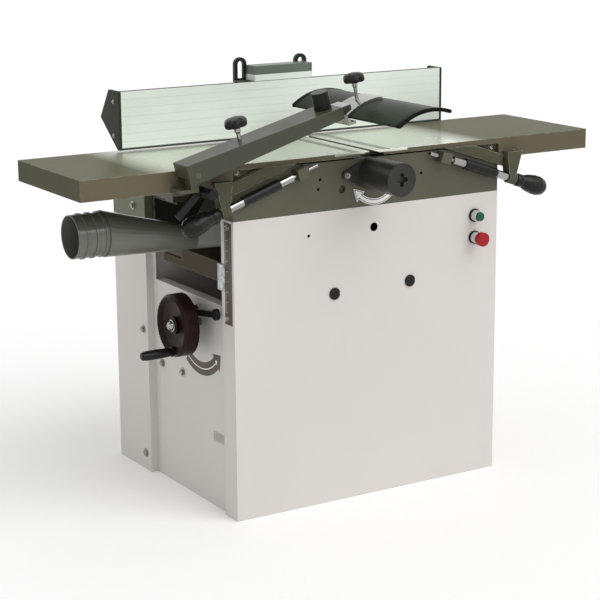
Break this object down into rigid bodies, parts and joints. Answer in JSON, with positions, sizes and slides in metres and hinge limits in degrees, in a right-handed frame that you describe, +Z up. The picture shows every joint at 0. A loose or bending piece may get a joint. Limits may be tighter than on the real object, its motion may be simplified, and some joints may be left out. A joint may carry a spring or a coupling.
{
  "type": "combination planer thicknesser",
  "caption": "Combination planer thicknesser on a grey steel cabinet, with cast tables, a tilting fence, a bridge guard and a dust hood.",
  "frame": {"origin": "on the floor under the cutter axis, at the centre of the floor bolt pattern", "axes": "+X along the tables to the infeed end, +Y towards the fence, +Z up"},
  "size_m": [1.453, 0.883, 1.0845],
  "materials": {
    "sheet": "satin",
    "head": "satin",
    "table": "ground",
    "steel": "ground",
    "iron": "matte",
    "bright": "polished",
    "black": "satin",
    "belt": "matte",
    "wheel": "satin",
    "extrusion": "anodised",
    "hood": "semi-gloss",
    "bronze": "satin",
    "green": "gloss",
    "red": "gloss"
  },
  "bodies": {
    "frame": {"cabinet": "sheet", "front_panel": "sheet", "rear_cover": "sheet", "belt_guard": "head", "front_cheek": "head", "rear_cheek": "head", "cutter_bearings": "steel", "chuck_guard": "black", "motor": "iron", "drive_belt": "belt", "feed_chain": "iron", "kickback_rod": "steel", "screw_blocks": "head", "column_guide": "iron", "button_station": "black", "panel_plugs": "black", "fence_guide": "head"},
    "cutter": {"cutter_block": "steel", "knives": "bright", "wedge_bars": "steel", "chuck": "steel", "cutter_pulley": "iron"},
    "rotor": {"motor_pulley": "iron"},
    "feed_roller": {"feed_roller": "steel"},
    "outfeed_roller": {"outfeed_roller": "steel"},
    "fingers": {"kickback_fingers": "iron"},
    "bed": {"thicknesser_table": "table", "table_column": "steel", "lift_screw": "steel", "height_pointer": "bright"},
    "lift_nut": {"lift_nut": "bronze"},
    "handwheel": {"handwheel_shaft": "steel", "handwheel": "wheel"},
    "crank_grip": {"crank_grip": "black"},
    "height_lock": {"height_lock": "black"},
    "outfeed": {"outfeed_table": "table", "outfeed_lip": "steel", "guard_bracket": "head"},
    "infeed": {"infeed_table": "table", "infeed_lip": "steel"},
    "outfeed_adjuster": {"outfeed_screw": "bright", "outfeed_knob": "black"},
    "infeed_adjuster": {"infeed_screw": "bright", "infeed_knob": "black"},
    "table_lock": {"table_lock": "black"},
    "guard_arm": {"guard_arm": "head", "guard_holder": "bright"},
    "arm_star_knob": {"arm_star_knob": "black"},
    "arm_drum_knob": {"arm_drum_knob": "black"},
    "guard_knob": {"guard_knob": "black"},
    "guard": {"bridge_guard": "extrusion"},
    "start_button": {"start_button": "green"},
    "stop_button": {"stop_button": "red"},
    "fence_bar": {"fence_bar": "steel"},
    "fence": {"fence_plate": "extrusion", "fence_caps": "black", "fence_support": "head"},
    "tilt_lever": {"fence_tilt_lever": "black"},
    "slide_lever": {"fence_slide_lever": "black"},
    "hood": {"dust_hood": "hood"}
  },
  "joints": [
    {"name": "cutter_spin", "type": "hinge", "parent": "frame", "child": "cutter", "pos_m": [0, 0, 0.826], "axis": [0, 1, 0], "continuous": true},
    {"name": "motor_spin", "type": "hinge", "parent": "frame", "child": "rotor", "pos_m": [0.15, 0.2, 0.21], "axis": [0, 1, 0], "continuous": true},
    {"name": "feed_roller_spin", "type": "hinge", "parent": "frame", "child": "feed_roller", "pos_m": [-0.084, 0, 0.793], "axis": [0, 1, 0], "continuous": true},
    {"name": "outfeed_roller_spin", "type": "hinge", "parent": "frame", "child": "outfeed_roller", "pos_m": [0.084, 0, 0.793], "axis": [0, 1, 0], "continuous": true},
    {"name": "fingers_swing", "type": "hinge", "parent": "frame", "child": "fingers", "pos_m": [-0.14, 0, 0.808], "axis": [0, -1, 0], "range_deg": [0, 45]},
    {"name": "bed_lift", "type": "slide", "parent": "frame", "child": "bed", "axis": [0, 0, 1], "range_m": [-0.042, 0.022]},
    {"name": "lift_nut_turn", "type": "hinge", "parent": "frame", "child": "lift_nut", "pos_m": [0, 0.022, 0.44], "axis": [0, 0, 1], "range_deg": [-5585, 3785]},
    {"name": "handwheel_turn", "type": "hinge", "parent": "frame", "child": "handwheel", "pos_m": [-0.4, 0.022, 0.462], "axis": [1, 0, 0], "range_deg": [-3785, 5585]},
    {"name": "crank_grip_spin", "type": "hinge", "parent": "handwheel", "child": "crank_grip", "pos_m": [-0.47, 0.022, 0.396], "axis": [1, 0, 0], "continuous": true},
    {"name": "height_lock_swing", "type": "hinge", "parent": "frame", "child": "height_lock", "pos_m": [-0.385, 0.04, 0.488], "axis": [1, 0, 0], "range_deg": [-12, 20]},
    {"name": "outfeed_adjust", "type": "slide", "parent": "frame", "child": "outfeed", "axis": [-0.9483, 0, -0.3173], "range_m": [0, 0.012]},
    {"name": "infeed_adjust", "type": "slide", "parent": "frame", "child": "infeed", "axis": [0.9483, 0, -0.3173], "range_m": [0, 0.012]},
    {"name": "outfeed_screw_turn", "type": "hinge", "parent": "outfeed", "child": "outfeed_adjuster", "pos_m": [-0.31653, -0.187, 0.80995], "axis": [-0.9483, 0, -0.3173], "range_deg": [-5, 2165]},
    {"name": "infeed_screw_turn", "type": "hinge", "parent": "infeed", "child": "infeed_adjuster", "pos_m": [0.31653, -0.187, 0.80995], "axis": [0.9483, 0, -0.3173], "range_deg": [-5, 2165]},
    {"name": "table_lock_swing", "type": "hinge", "parent": "outfeed", "child": "table_lock", "pos_m": [-0.487, -0.2, 0.832], "axis": [0, 1, 0], "range_deg": [-5, 20]},
    {"name": "guard_arm_lift", "type": "hinge", "parent": "outfeed", "child": "guard_arm", "pos_m": [-0.515, -0.211, 0.8766], "axis": [0, -1, 0], "range_deg": [-9, 30]},
    {"name": "arm_star_knob_turn", "type": "hinge", "parent": "guard_arm", "child": "arm_star_knob", "pos_m": [-0.39532, -0.211, 0.96803], "axis": [-0.2402, 0, 0.9707], "range_deg": [-180, 180]},
    {"name": "arm_drum_knob_turn", "type": "hinge", "parent": "guard_arm", "child": "arm_drum_knob", "pos_m": [-0.16105, -0.2, 1.0157], "axis": [-0.2402, 0, 0.9707], "range_deg": [-180, 180]},
    {"name": "guard_knob_turn", "type": "hinge", "parent": "guard_arm", "child": "guard_knob", "pos_m": [-0.05887, -0.189, 1.04429], "axis": [-0.1736, 0, 0.9848], "range_deg": [-180, 180]},
    {"name": "guard_slide", "type": "slide", "parent": "guard_arm", "child": "guard", "axis": [0, 1, 0], "range_m": [-0.12, 0.01]},
    {"name": "start_press", "type": "slide", "parent": "frame", "child": "start_button", "axis": [0, 1, 0], "range_m": [0, 0.004], "stiffness_N_per_m": 800, "springref_m": -0.001},
    {"name": "stop_press", "type": "slide", "parent": "frame", "child": "stop_button", "axis": [0, 1, 0], "range_m": [0, 0.004], "stiffness_N_per_m": 800, "springref_m": -0.001},
    {"name": "fence_slide", "type": "slide", "parent": "frame", "child": "fence_bar", "axis": [0, -1, 0], "range_m": [0, 0.095]},
    {"name": "fence_tilt", "type": "hinge", "parent": "fence_bar", "child": "fence", "pos_m": [-0.1, 0.176, 0.893], "axis": [-1, 0, 0], "range_deg": [0, 45]},
    {"name": "tilt_lever_swing", "type": "hinge", "parent": "fence", "child": "tilt_lever", "pos_m": [-0.153, 0.2, 1.013], "axis": [0, 1, 0], "range_deg": [-30, 30]},
    {"name": "slide_lever_swing", "type": "hinge", "parent": "fence", "child": "slide_lever", "pos_m": [0.026, 0.2, 1.013], "axis": [0, 1, 0], "range_deg": [-30, 30]},
    {"name": "hood_slide", "type": "slide", "parent": "frame", "child": "hood", "axis": [-1, 0, 0], "range_m": [0, 0.28]}
  ],
  "couplings": [
    {"joint": "motor_spin", "follows": "cutter_spin", "ratio": 0.53488},
    {"joint": "outfeed_roller_spin", "follows": "feed_roller_spin", "ratio": 1},
    {"joint": "lift_nut_turn", "follows": "bed_lift", "rad_per_m": -1570.8},
    {"joint": "handwheel_turn", "follows": "bed_lift", "rad_per_m": 1570.8},
    {"joint": "outfeed_screw_turn", "follows": "outfeed_adjust", "rad_per_m": 3141.6},
    {"joint": "infeed_screw_turn", "follows": "infeed_adjust", "rad_per_m": 3141.6}
  ]
}
